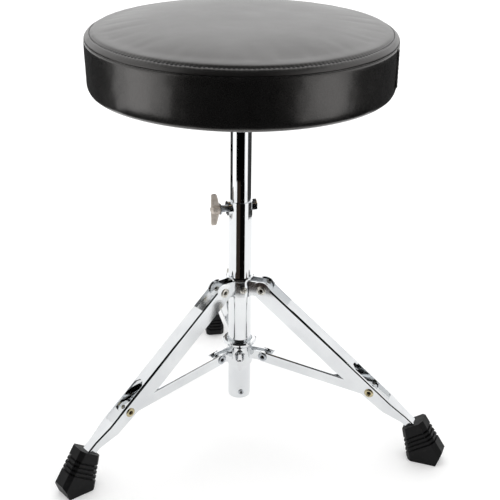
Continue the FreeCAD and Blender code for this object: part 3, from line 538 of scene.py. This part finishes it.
def top_panel(finish):
    """Crowned vinyl panel, drawn down at the stitches and rolled over to the seam."""
    outline = [(0.0, CROWN_HEIGHT)]
    rings = (6, 14, 24, 36, 50, 64, 78, 90, 101, 111, 120, 128, 134, 139, 143, 146, 148)
    outline += [(radius, crown_height(radius)) for radius in rings]
    outline += [(149.3, crown_height(149.3) - 0.2), (150.4, STITCH_HEIGHT - 0.45),
                (151.0, STITCH_HEIGHT - 0.85), (151.6, STITCH_HEIGHT - 0.95), (152.6, STITCH_HEIGHT - 1.2),
                (153.8, STITCH_HEIGHT - 2.0), (155.0, STITCH_HEIGHT - 3.2), (155.9, STITCH_HEIGHT - 4.5),
                (156.3, STITCH_HEIGHT - 5.6), (156.2, STITCH_HEIGHT - 6.5), (155.5, SEAM_HEIGHT + 0.2),
                (154.2, SEAM_HEIGHT + 0.05), (152.4, SEAM_HEIGHT + 1.2), (150.0, SEAM_HEIGHT + 4.2)]
    outline += [(radius, crown_height(radius) - PANEL_THICK) for radius in (130.0, 95.0, 50.0)]
    outline += [(0.0, CROWN_HEIGHT - PANEL_THICK)]
    piece = turned("seat_top", outline, 240, closed=False)
    relax_panel(piece)
    smooth(piece, 60.0)
    finish_piece(piece, finish, "seat", "seat_vinyl", "seat_top_cover", "foam_pad")


def relax_panel(piece):
    """The panel laid over its stuffing, with the pull of the stitches."""
    form = stuffed_form()
    for vertex in piece.data.vertices:
        radius = math.hypot(vertex.co.x, vertex.co.y) / MM
        if form and radius < FORM_FADE_RADIUS and vertex.co.z > (SEAM_HEIGHT + 3) * MM:
            hit = form.ray_cast(Vector((vertex.co.x, vertex.co.y, 1.0)), Vector((0, 0, -1)))[0]
            lift = hit.z - crown_height(radius) * MM
            vertex.co.z += lift * min(1.0, (FORM_FADE_RADIUS - radius) / 10.0)
        azimuth = math.atan2(vertex.co.y, vertex.co.x)
        swell = noise.noise(Vector((vertex.co.x * 14, vertex.co.y * 14, 0.3)))
        inner = max(0.0, min(1.0, (STITCH_RADIUS - radius) / 20.0))
        vertex.co.z += swell * 0.9 * MM * inner
        gather = noise.noise(Vector((math.cos(azimuth) * 16, math.sin(azimuth) * 16, 2.0)))
        close = math.exp(-((radius - STITCH_RADIUS) / 5.0) ** 2)
        vertex.co.z += gather * 0.35 * MM * close


def side_band(finish):
    """Vinyl band round the foam, pulled over the board's edge and turned under as a hem."""
    foot = SEAT_FOOT
    outer = [(154.4, SEAM_HEIGHT - 0.1), (155.6, SEAM_HEIGHT - 0.25), (156.35, SEAM_HEIGHT - 1.0),
             (156.6, SEAM_HEIGHT - 2.4), (156.55, 443.0), (156.5, 438.0), (156.45, 433.0), (156.4, 428.0),
             (156.3, 423.0), (156.2, 418.0), (156.0, 413.0), (155.8, 408.5), (155.4, 405.0), (154.8, 402.4),
             (153.7, 400.3), (152.0, 398.9), (149.4, foot + 0.2), (142.0, foot), (134.0, foot), (127.2, foot),
             (126.0, foot + 0.5)]
    inner = [(126.0, foot + 1.2), (149.4, foot + 1.3), (151.8, 400.2), (153.6, 403.4), (154.4, 410.0),
             (154.8, 419.0), (155.2, 433.0), (155.2, 446.0)]
    piece = turned("seat_band", outer + inner, 288)
    for vertex in piece.data.vertices:
        azimuth = math.atan2(vertex.co.y, vertex.co.x)
        height = vertex.co.z / MM
        round_place = Vector((math.cos(azimuth) * 4.2, math.sin(azimuth) * 4.2, height * 0.035))
        fine_place = Vector((math.cos(azimuth) * 15, math.sin(azimuth) * 15, height * 0.11))
        slack = noise.noise(round_place) * 0.55 + noise.noise(fine_place) * 0.22
        free = max(0.0, min(1.0, (SEAM_HEIGHT - height) / 6.0, (height - 399.0) / 5.0))
        radius = math.hypot(vertex.co.x, vertex.co.y)
        grow = (radius + slack * free * MM) / radius
        vertex.co.x *= grow
        vertex.co.y *= grow
        pull = noise.noise(Vector((math.cos(azimuth) * 22, math.sin(azimuth) * 22, 5.0)))
        if height < 399.0 and radius < 0.150:
            vertex.co.z += max(0.0, pull) * 0.5 * MM
    smooth(piece, 60.0)
    finish_piece(piece, finish, "seat", "seat_vinyl", "seat_side_band")


def seam_ridge(finish):
    """Turned edges of the two panels, sewn together in the groove of the seam."""
    radius, middle = 155.9, SEAM_HEIGHT - 0.05
    outline = [(radius + 0.62 * math.cos(a), middle + 0.5 * math.sin(a))
               for a in [math.radians(45 * step) for step in range(8)]]
    piece = turned("seat_seam", outline, 240)
    for vertex in piece.data.vertices:
        azimuth = math.atan2(vertex.co.y, vertex.co.x)
        vertex.co.z += noise.noise(Vector((math.cos(azimuth) * 18, math.sin(azimuth) * 18, 0))) * 0.25 * MM
    smooth(piece, 80.0)
    finish_piece(piece, finish, "seat", "seat_vinyl", "seat_piping")


def stitch_row(finish):
    """Topstitching along the edge of the crown: one stitch, modelled once and spun round."""
    piece = one_stitch("seat_topstitch", 2.9, 0.33)
    lean = Matrix.Rotation(math.radians(10.0), 4, "Y")
    settle(piece, Matrix.Translation((STITCH_RADIUS * MM, 0, (STITCH_HEIGHT - 0.62) * MM)) @ lean)
    edit_all(piece)
    bpy.ops.mesh.spin(steps=STITCHES, angle=2 * math.pi, dupli=True, center=(0, 0, 0), axis=(0, 0, 1))
    leave_edit()
    weld(piece, 0.001)
    smooth(piece, 80.0)
    finish_piece(piece, finish, "seat", "seat_vinyl")


def one_stitch(name, length, radius):
    """One stitch of thread along Y that dives at both ends."""
    deselect()
    bpy.ops.mesh.primitive_cylinder_add(vertices=6, radius=radius * MM, depth=length * MM,
                                        rotation=(math.radians(90), 0, 0))
    bpy.ops.object.transform_apply(location=True, rotation=True, scale=True)
    piece = bpy.context.object
    piece.name = name
    edit_all(piece)
    bpy.ops.mesh.bisect(plane_co=(0, length * 0.3 * MM, 0), plane_no=(0, 1, 0))
    bpy.ops.mesh.select_all(action="SELECT")
    bpy.ops.mesh.bisect(plane_co=(0, -length * 0.3 * MM, 0), plane_no=(0, 1, 0))
    leave_edit()
    for vertex in piece.data.vertices:
        if abs(vertex.co.y) > length * 0.45 * MM:
            vertex.co.z -= radius * 1.3 * MM
            vertex.co.x *= 0.6
    return piece


def band_flap(finish, sewing):
    """Folded strip that covers the ends of the side band, with its own row of stitches."""
    foot, roof = 406.0, 451.0
    piece = block("seat_band_join", (156.0, -3.0, foot), (158.0, 3.0, roof))
    edit_all(piece)
    bpy.ops.mesh.subdivide(number_cuts=12)
    leave_edit()
    for vertex in piece.data.vertices:
        up = (vertex.co.z / MM - foot) / (roof - foot)
        across = vertex.co.y / MM / 3.0
        inner = vertex.co.x / MM < 156.5
        tuck = 1.9 * max(0.0, (up - 0.93) / 0.07) ** 2 + 2.6 * max(0.0, (0.16 - up) / 0.16) ** 2
        crown = 0.0 if inner else 0.35 * (1 - across * across) + 0.12 * noise.noise(Vector((0, up * 9, across)))
        vertex.co.x += (crown - tuck - 0.5 - 0.028 * (across * 3.0) ** 2) * MM
        vertex.co.y += 0.25 * MM * noise.noise(Vector((up * 6, 3.0, 0)))
    bevel(piece, 0.35, 2, 50)
    smooth(piece, 60)
    stitches = []
    for index in range(9):
        stitch = one_stitch("join_stitch", 3.0, 0.3)
        stand = Matrix.Rotation(math.radians(90), 4, "Y") @ Matrix.Rotation(math.radians(90), 4, "Z")
        place = Matrix.Translation((157.55 * MM, 1.9 * MM, (411 + 4.4 * index) * MM))
        stitches.append(settle(stitch, place @ stand))
    row = join("seat_join_stitches", stitches)
    smooth(row, 80.0)
    swing = Matrix.Rotation(math.radians(JOIN_AZIMUTH), 4, "Z")
    for item in (piece, row):
        settle(item, swing)
    finish_piece(piece, finish, "seat", "seat_vinyl", "band_join")
    finish_piece(row, sewing, "seat", "seat_vinyl")


def under_cloth(finish, wire):
    """Dust cloth stretched under the board inside the hem, with a ring of staples."""
    outline = [(87.0, 398.9), (95.0, 398.7), (108.0, 398.5), (118.0, 398.6), (125.6, 398.9), (125.6, 399.15),
               (87.0, 399.15)]
    piece = turned("seat_dust_cloth", outline, 144)
    for vertex in piece.data.vertices:
        vertex.co.z += 0.1 * MM * noise.noise(vertex.co * 60)
    smooth(piece, 60.0)
    finish_piece(piece, finish, "seat", "black_cloth", "underside_cloth")
    staple = block("seat_staples", (129.4, -5.0, 397.35), (130.1, 5.0, 397.95))
    bevel(staple, 0.2, 2)
    edit_all(staple)
    bpy.ops.mesh.spin(steps=STAPLES, angle=2 * math.pi, dupli=True, center=(0, 0, 0), axis=(0, 0, 1))
    leave_edit()
    weld(staple, 0.001)
    smooth(staple, 60.0)
    finish_piece(staple, wire, "seat", "zinc_steel")


# ---------------------------------------------------------------- screws and rivets

def screw_thread(name, radius, pitch, start, end):
    """A rolled thread along Z: one tooth's outline swept as a helix."""
    turns = max(1, int(round((end - start) / pitch)))
    deselect()
    bpy.ops.mesh.primitive_plane_add(size=MM)
    piece = bpy.context.object
    piece.name = name
    bpy.ops.object.mode_set(mode="EDIT")
    bpy.ops.mesh.merge(type="CENTER")
    root = radius - 0.6 * pitch
    here = Vector((root * MM, 0, start * MM))
    bpy.ops.transform.translate(value=here)
    for out, up in ((root, 0.12), (radius, 0.46), (radius, 0.6), (root, 0.94), (root, 1.0)):
        there = Vector((out * MM, 0, (start + up * pitch) * MM))
        bpy.ops.mesh.extrude_region_move(TRANSFORM_OT_translate={"value": there - here})
        here = there
    leave_edit()
    sweep = piece.modifiers.new("helix", "SCREW")
    sweep.axis = "Z"
    sweep.steps = 32
    sweep.render_steps = 32
    sweep.screw_offset = pitch * MM
    sweep.iterations = turns
    sweep.use_merge_vertices = True
    sweep.merge_threshold = 0.01 * MM
    apply_all(piece)
    edit_all(piece)
    bpy.ops.mesh.remove_doubles(threshold=0.01 * MM)
    bpy.ops.mesh.select_all(action="DESELECT")
    bpy.ops.mesh.select_non_manifold()
    bpy.ops.mesh.edge_face_add()
    bpy.ops.mesh.select_all(action="SELECT")
    bpy.ops.mesh.normals_make_consistent(inside=False)
    leave_edit()
    smooth(piece, 30.0)
    return piece


def cast_wings(name, head, length, reach, thick, hub):
    """Die-cast wing head along Z: a hub and two rounded wings, melted into one casting with fillets."""
    body = turned(name + "_hub", [(0, head), (hub, head), (hub, head + 0.4), (hub, head + length * 0.5),
                                  (hub * 0.82, head + length * 0.78), (hub * 0.4, head + length),
                                  (0, head + length)], 48, closed=False)
    wings = []
    for side in (1, -1):
        wing = block(name + "_wing", (-thick / 2, hub * 0.3, head + 0.3),
                     (thick / 2, reach, head + length * 0.92))
        edit_all(wing)
        bpy.ops.mesh.subdivide(number_cuts=3)
        leave_edit()
        for vertex in wing.data.vertices:
            out = max(0.0, (vertex.co.y / MM - hub * 0.3) / (reach - hub * 0.3))
            up = (vertex.co.z / MM - head - 0.3) / (length * 0.92 - 0.3)
            lean = 0.36 * out ** 1.3
            vertex.co.z = (head + 0.3 + (length * 0.92 - 0.3) * (lean + up * (1.0 - lean))) * MM
            vertex.co.x *= 1.15 - 0.5 * out
        if side < 0:
            settle(wing, Matrix.Rotation(math.pi, 4, "Z"))
        wings.append(wing)
    for wing in wings:
        subdivided(wing, 2)
    bevel(body, 0.5, 3)
    piece = join(name, [body] + wings)
    merge = piece.modifiers.new("one_casting", "REMESH")
    merge.mode = "VOXEL"
    merge.voxel_size = 0.28 * MM
    apply_all(piece)
    blend_in = piece.modifiers.new("fillets", "CORRECTIVE_SMOOTH")
    blend_in.factor = 0.5
    blend_in.iterations = 12
    blend_in.smooth_type = "SIMPLE"
    blend_in.use_only_smooth = True
    apply_all(piece)
    weld(piece, 0.001)
    smooth(piece, 80.0)
    return piece


def tubular_rivet(name, frames, inner, shank_to, finish, dark, body, *nodes):
    """Tubular rivets: a rolled head with a dark dish of painted shade in its hole, on both sides of each frame
    along its Y.

    inner is how far out the head's seat is, and shank_to how deep the shank goes, in millimetres.
    """
    heads, holes = [], []
    for place in frames:
        for side in (1, -1):
            head = turned("head", [(2.1, 0.25), (2.35, 0.85), (2.9, 1.12), (3.7, 1.08), (4.6, 0.72), (5.1, 0.3),
                                   (5.2, 0.0), (2.9, 0.0), (2.9, -shank_to), (1.6, -shank_to), (1.6, -0.4)], 40)
            # A dark dish inside the bore: painted shade for the deep hole.
            hole = turned("hole", [(0, -shank_to + 0.4), (1.62, -shank_to + 0.4), (1.66, -0.3), (0, -1.2)], 32,
                          closed=False)
            stand = Matrix.Rotation(math.radians(-90 * side), 4, "X")
            where = place @ Matrix.Translation((0, side * inner * MM, 0)) @ stand
            heads.append(settle(head, where))
            holes.append(settle(hole, where))
    piece = join(name, heads)
    smooth(piece, 40.0)
    finish_piece(piece, finish, body, "rivet_nickel", *nodes)
    bore = join(name + "_bores", holes)
    smooth(bore, 40.0)
    finish_piece(bore, dark, body, "rivet_nickel")


def pivot_frame(azimuth, pivot, slide=0.0):
    """Frame at a pivot: X runs to the leg's joint with the brace, Y across the leg."""
    run, drop = LEG_JOINT[0] - pivot[0], pivot[1] - LEG_JOINT[1]
    turn = Matrix.Rotation(math.radians(azimuth), 4, "Z")
    tilt = Matrix.Rotation(math.atan2(drop, run), 4, "Y")
    move = Matrix.Translation((pivot[0] * MM, 0, pivot[1] * MM))
    return turn @ move @ tilt @ Matrix.Translation((slide * MM, 0, 0))


def cross_screw(name, radius, thick, place):
    """Pan-headed screw with a cross recess. Z points out of the head."""
    piece = turned(name, [(0, thick), (radius * 0.55, thick * 0.96), (radius * 0.85, thick * 0.7),
                          (radius, thick * 0.3), (radius, 0), (0, 0)], 40, closed=False)
    for angle in (0.4, 0.4 + math.pi / 2):
        slot = block("slot", (-radius * 0.62, -radius * 0.13, thick * 0.35),
                     (radius * 0.62, radius * 0.13, thick * 2))
        settle(slot, Matrix.Rotation(angle, 4, "Z"))
        cut(piece, slot)
    smooth(piece, 35.0)
    settle(piece, place)
    return piece


# ---------------------------------------------------------------- light and floor

def stage_card(name, points, faces, shade, glow=1.0):
    """An evenly glowing card that only reflections see."""
    mesh = bpy.data.meshes.new(name)
    mesh.from_pydata(points, [], faces)
    card = bpy.data.objects.new(name, mesh)
    bpy.context.scene.collection.objects.link(card)
    material = bpy.data.materials.new(name)
    material.use_nodes = True
    material.node_tree.nodes.clear()
    light = node(material, "ShaderNodeEmission", None, {"Color": linear(shade), "Strength": glow})
    node(material, "ShaderNodeOutputMaterial", None, {"Surface": light.outputs[0]})
    mesh.materials.append(material)
    card.visible_camera = False
    card.visible_diffuse = False
    card.visible_shadow = False
    card.visible_transmission = False


def stage_tent(name, distance, rows, shade):
    """A dark cloth over the front of the set: each row is an elevation, a left and a right edge."""
    turn = Matrix.Rotation(math.radians(VIEW_AZIMUTH), 4, "Z")
    points = []
    for elevation, left, right in rows:
        out = distance * math.cos(math.radians(elevation))
        up = distance * math.sin(math.radians(elevation))
        points += [turn @ Vector((out, left, up)), turn @ Vector((out, right, up))]
    faces = [(2 * i, 2 * i + 1, 2 * i + 3, 2 * i + 2) for i in range(len(rows) - 1)]
    stage_card(name, points, faces, shade)


def stage_sector(name, near, far, start, end, height, shade, glow=1.0):
    """A level card at one height, between two radii and two directions seen from the camera's side."""
    steps = 24
    start, end = start + VIEW_AZIMUTH, end + VIEW_AZIMUTH
    rim = [(near, start + (end - start) * step / steps) for step in range(steps + 1)]
    rim += [(far, end - (end - start) * step / steps) for step in range(steps + 1)]
    points = [(r * math.cos(math.radians(a)), r * math.sin(math.radians(a)), height) for r, a in rim]
    faces = [(i, i + 1, len(points) - 2 - i, len(points) - 1 - i) for i in range(steps)]
    stage_card(name, points, faces, shade, glow)


def softbox(name, azimuth, distance, height, width, tall, power):
    """A soft rectangular light that faces the middle of the column."""
    data = bpy.data.lights.new(name, "AREA")
    data.shape = "RECTANGLE"
    data.size = width
    data.size_y = tall
    data.energy = power
    lamp = bpy.data.objects.new(name, data)
    bpy.context.scene.collection.objects.link(lamp)
    out = math.radians(azimuth)
    lamp.location = (distance * math.cos(out), distance * math.sin(out), height)
    aim = Vector((0, 0, 0.3)) - lamp.location
    lamp.rotation_euler = aim.to_track_quat("-Z", "Y").to_euler()
    lamp.visible_camera = False


def make_stage():
    """White floor, an even white surround, one soft light, and the cards that the chrome and vinyl reflect."""
    world = bpy.data.worlds.new("surround")
    bpy.context.scene.world = world
    world.use_nodes = True
    world.node_tree.nodes["Background"].inputs["Color"].default_value = (1, 1, 1, 1)
    world.node_tree.nodes["Background"].inputs["Strength"].default_value = WORLD_GLOW
    deselect()
    bpy.ops.mesh.primitive_circle_add(vertices=128, radius=6.0, fill_type="NGON", location=(0, 0, -0.0004))
    floor = bpy.context.object
    floor.name = "floor"
    material, place = new_material("pale_paper_sweep")
    tone = mixed(material, speckle(material, place, 300.0), linear("#FFFFFF"), linear("#FDFDFD"))
    shader = node(material, "ShaderNodeBsdfPrincipled", None, {
        "Base Color": tone, "Roughness": 0.9,
        "Emission Color": linear("#FFFFFF"), "Emission Strength": FLOOR_GLOW})
    close_material(material, shader)
    floor.data.materials.append(material)
    stage_sector("brown_flag", 0.345, 0.8, -41, -3, CARD_HEIGHT, "#322A25")
    # A black card under the seat, seen only in reflections: painted shade for the shaded floor below the seat.
    stage_sector("under_seat_shade_card", 0.2, 0.35, -78, 85, LOW_CARD_HEIGHT, "#0A0A0A")
    stage_sector("left_window", 0.75, 4.0, -84, -64, CARD_HEIGHT, "#FFFFFF", 1.9)
    stage_sector("right_window", 0.75, 4.0, 56, 70, CARD_HEIGHT, "#FFFFFF", 1.6)
    stage_sector("black_flag", 0.345, 0.8, -3, 44, CARD_HEIGHT, "#060606")
    stage_sector("far_flag", 0.8, 5.0, -50, 42, CARD_HEIGHT, "#040404")
    stage_sector("right_flag", 0.62, 5.0, 80, 180, CARD_HEIGHT, "#404040")
    stage_sector("left_flag", 0.62, 5.0, -180, -98, CARD_HEIGHT, "#404040")
    stage_tent("front_tent", 3.0, [(0, -3.4, 2.7), (20, -3.2, 2.6), (40, -2.6, 2.2), (60, -2.0, 1.9),
                                   (80, -1.8, 1.8), (98, -1.7, 1.7)], "#2A2A2A")
    softbox("key_light", VIEW_AZIMUTH + 180, 2.4, 2.0, 2.4, 1.8, 5.0)


# ---------------------------------------------------------------- the throne

def build():
    """Every finish, then the seat, the pressings, the limbs, the rivets and the screws."""
    tube_chrome = chrome("chromed_drawn_tube", 0.035, "#D9DBDD", 0.012)
    sheet_chrome = chrome("chromed_pressed_sheet", 0.06, "#D6D8DA", 0.05)
    cast_finish = chrome("chromed_zinc_casting", 0.09, "#CFD0D2", 0.03)
    nickel = plated("passivated_steel_rivet", "#C6BB98", "#A3987A", 0.2, 0.3)
    zinc = plated("bright_zinc_plate", "#C9CCCF", "#AEB3B8", 0.24, 0.3)
    pale_nickel = plated("nickel_plated_rivet", "#DAD8D2", "#BFBBB2", 0.22, 0.3)
    tumbled = plated("tumbled_nickel_casting", "#C9C1B8", "#B1A89E", 0.34, 0.6, 0.55)
    # Dark brown plate for the rivet bores: painted shade in their holes.
    bore_shade = plated("rivet_bore_painted_shade", "#2C2721", "#17130F", 0.5, 0.3)
    panel_vinyl = vinyl("grained_pvc_top", True, 0.34, 0.42)
    band_vinyl = vinyl("grained_pvc_band", False, 0.22, 0.29)
    boot_finish = rubber("moulded_rubber")
    enamel = smooth_black("stove_enamel", "#0D0D0E", 0.22, 0.03, 1.2)
    nylon = smooth_black("moulded_nylon", "#111112", 0.42, 0.02, 0.6)
    cloth = felted("nonwoven_dust_cloth", "#121213", "#232324")
    sewing = thread("nylon_sewing_thread")
    ply = birch("birch_plywood")

    nodes = frame["nodes"]
    plain = {
        "outer_tube": tube_chrome, "seat_post": tube_chrome, "column_plug": sheet_chrome,
        "post_top_plug": nylon, "post_foot_plug": nylon, "swivel_bush": nylon, "thrust_washer": nylon,
        "tee_nuts": zinc, "seat_board": ply, "socket_screw": zinc}
    for name, finish in plain.items():
        nodes[name].data.materials.clear()
        nodes[name].data.materials.append(finish)

    top_panel(panel_vinyl)
    side_band(band_vinyl)
    seam_ridge(band_vinyl)
    stitch_row(sewing)
    band_flap(band_vinyl, sewing)
    under_cloth(cloth, zinc)

    soft = [
        ("height_boss", 0.5, sheet_chrome, "stand", "chromed_pressing"),
        ("guide_screw", 0.5, cast_finish, "stand", "cast_chrome"),
        ("upper_collar", 0.45, sheet_chrome, "stand", "chromed_pressing"),
        ("lower_collar", 0.45, sheet_chrome, "sliding_collar", "chromed_pressing"),
        ("lock_boss", 0.4, sheet_chrome, "sliding_collar", "chromed_pressing"),
        ("seat_plate", 0.4, enamel, "seat", "black_enamel"),
        ("socket_tube", 0.3, enamel, "seat", "black_enamel"),
        ("height_bolt_washer", 0.2, zinc, "bolt_washer", "zinc_steel"),
        ("lock_screw_washer", 0.2, zinc, "lock_washer", "zinc_steel")]
    for name, width, finish, body, slot_name in soft:
        finish_piece(softened(name, name + "_soft", width), finish, body, slot_name, name)
    limbs = [
        ("leg", "leg_pressing", 0.28, 2, sheet_chrome, "leg", "chromed_pressing"),
        ("brace", "brace_pressing", 0.22, 2, sheet_chrome, "brace", "chromed_pressing"),
        ("boot", "boot_rubber", 0.55, 3, boot_finish, "leg", "boot_rubber")]
    for name, new_name, width, segments, finish, body, slot_name in limbs:
        last = softened(f"{name}_3", f"{new_name}_3", width, segments)
        for number, azimuth in enumerate(LEG_AZIMUTHS, start=1):
            piece = last
            if number < 3:
                piece = bpy.data.objects.new(f"{new_name}_{number}", last.data.copy())
                bpy.context.scene.collection.objects.link(piece)
                settle(piece, Matrix.Rotation(math.radians(azimuth - LEG_AZIMUTHS[2]), 4, "Z"))
            finish_piece(piece, finish, f"{body}_{number}", slot_name, f"{name}_{number}")

    leg_frames = [pivot_frame(azimuth, LEG_PIVOT) for azimuth in LEG_AZIMUTHS]
    tubular_rivet("leg_pivots", leg_frames, 9.1, 2.0, pale_nickel, bore_shade, "stand", "leg_pivot_rivets")
    brace_frames = [pivot_frame(azimuth, BRACE_PIVOT) for azimuth in LEG_AZIMUTHS]
    tubular_rivet("brace_pivots", brace_frames, 6.1, 1.6, zinc, bore_shade, "sliding_collar", "brace_pivot_rivets")
    reach = math.hypot(LEG_JOINT[0] - LEG_PIVOT[0], LEG_PIVOT[1] - LEG_JOINT[1])
    for number, azimuth in enumerate(LEG_AZIMUTHS, start=1):
        joint = pivot_frame(azimuth, LEG_PIVOT, slide=reach)
        tubular_rivet(f"leg_joint_{number}", [joint], 9.0, 1.5, nickel, bore_shade,
                      f"leg_{number}", f"leg_studs_{number}")

    wing = cast_wings("height_wings", BOLT_HEAD, 10.0, 17.8, 4.2, 5.6)
    shank = screw_thread("height_bolt_thread", 4.0, 1.25, 12.6, BOLT_HEAD)
    outline = [(0, 11.6), (2.6, 11.6), (3.3, 12.3), (3.3, 13.2), (0, 13.2)]
    tip = turned("height_bolt_tip", outline, 32, closed=False)
    for piece in (wing, shank, tip):
        settle(piece, along(BOLT_AZIMUTH, BOLT_HEIGHT))
    finish_piece(wing, tumbled, "height_bolt", "cast_chrome", "height_wing_bolt")
    finish_piece(shank, zinc, "height_bolt", "zinc_steel")
    smooth(tip)
    finish_piece(tip, zinc, "height_bolt", "zinc_steel")

    wing = cast_wings("lock_wings", LOCK_HEAD, 8.0, 11.0, 5.0, 4.4)
    shank = screw_thread("lock_screw_thread", 3.0, 1.0, 13.6, LOCK_HEAD)
    for piece in (wing, shank):
        settle(piece, along(LOCK_AZIMUTH, LOCK_HEIGHT))
    finish_piece(wing, cast_finish, "lock_screw", "cast_chrome", "lock_wing_screw")
    finish_piece(shank, zinc, "lock_screw", "zinc_steel")

    low_corner, high_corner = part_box("column_rivet")
    width = (high_corner[0] - low_corner[0]) / MM / 2
    face = -low_corner[1] / MM
    head = turned("column_rivet_head", [(1.5, -1.4), (1.5, -0.5), (1.9, -0.1), (2.5, 0.0), (width * 0.8, -0.2),
                                        (width, -0.8), (width, -2.0), (1.5, -2.0)], 40)
    # A dark dish in the rivet's hole: painted shade.
    bore = turned("column_rivet_bore", [(0, -1.9), (1.6, -1.9), (1.55, -0.6), (0, -1.3)], 32, closed=False)
    for piece, finish in ((head, zinc), (bore, bore_shade)):
        settle(piece, along(270.0, (low_corner[2] + high_corner[2]) / MM / 2, face))
        smooth(piece, 40.0)
        finish_piece(piece, finish, "stand", "rivet_nickel", "column_rivet")

    pin = cross_screw("collar_pin_screw", 4.0, 1.7, along(SCREW_AZIMUTH, 172.7, 14.1))
    finish_piece(pin, pale_nickel, "stand", "rivet_nickel", "collar_screw")
    heads = []
    reach = PLATE_SCREW_RADIUS * MM
    for index in range(4):
        out = math.radians(45 + 90 * index)
        down = Matrix.Translation((reach * math.cos(out), reach * math.sin(out), PLATE_FOOT * MM))
        heads.append(cross_screw("plate_screw", 5.0, 2.4, down @ Matrix.Rotation(math.pi, 4, "X")))
    finish_piece(join("plate_screw_heads", heads), zinc, "seat", "zinc_steel", "plate_screws")


make_camera()
build()
make_stage()

scene = bpy.context.scene
scene.view_settings.view_transform = "Standard"
scene.view_settings.look = "None"
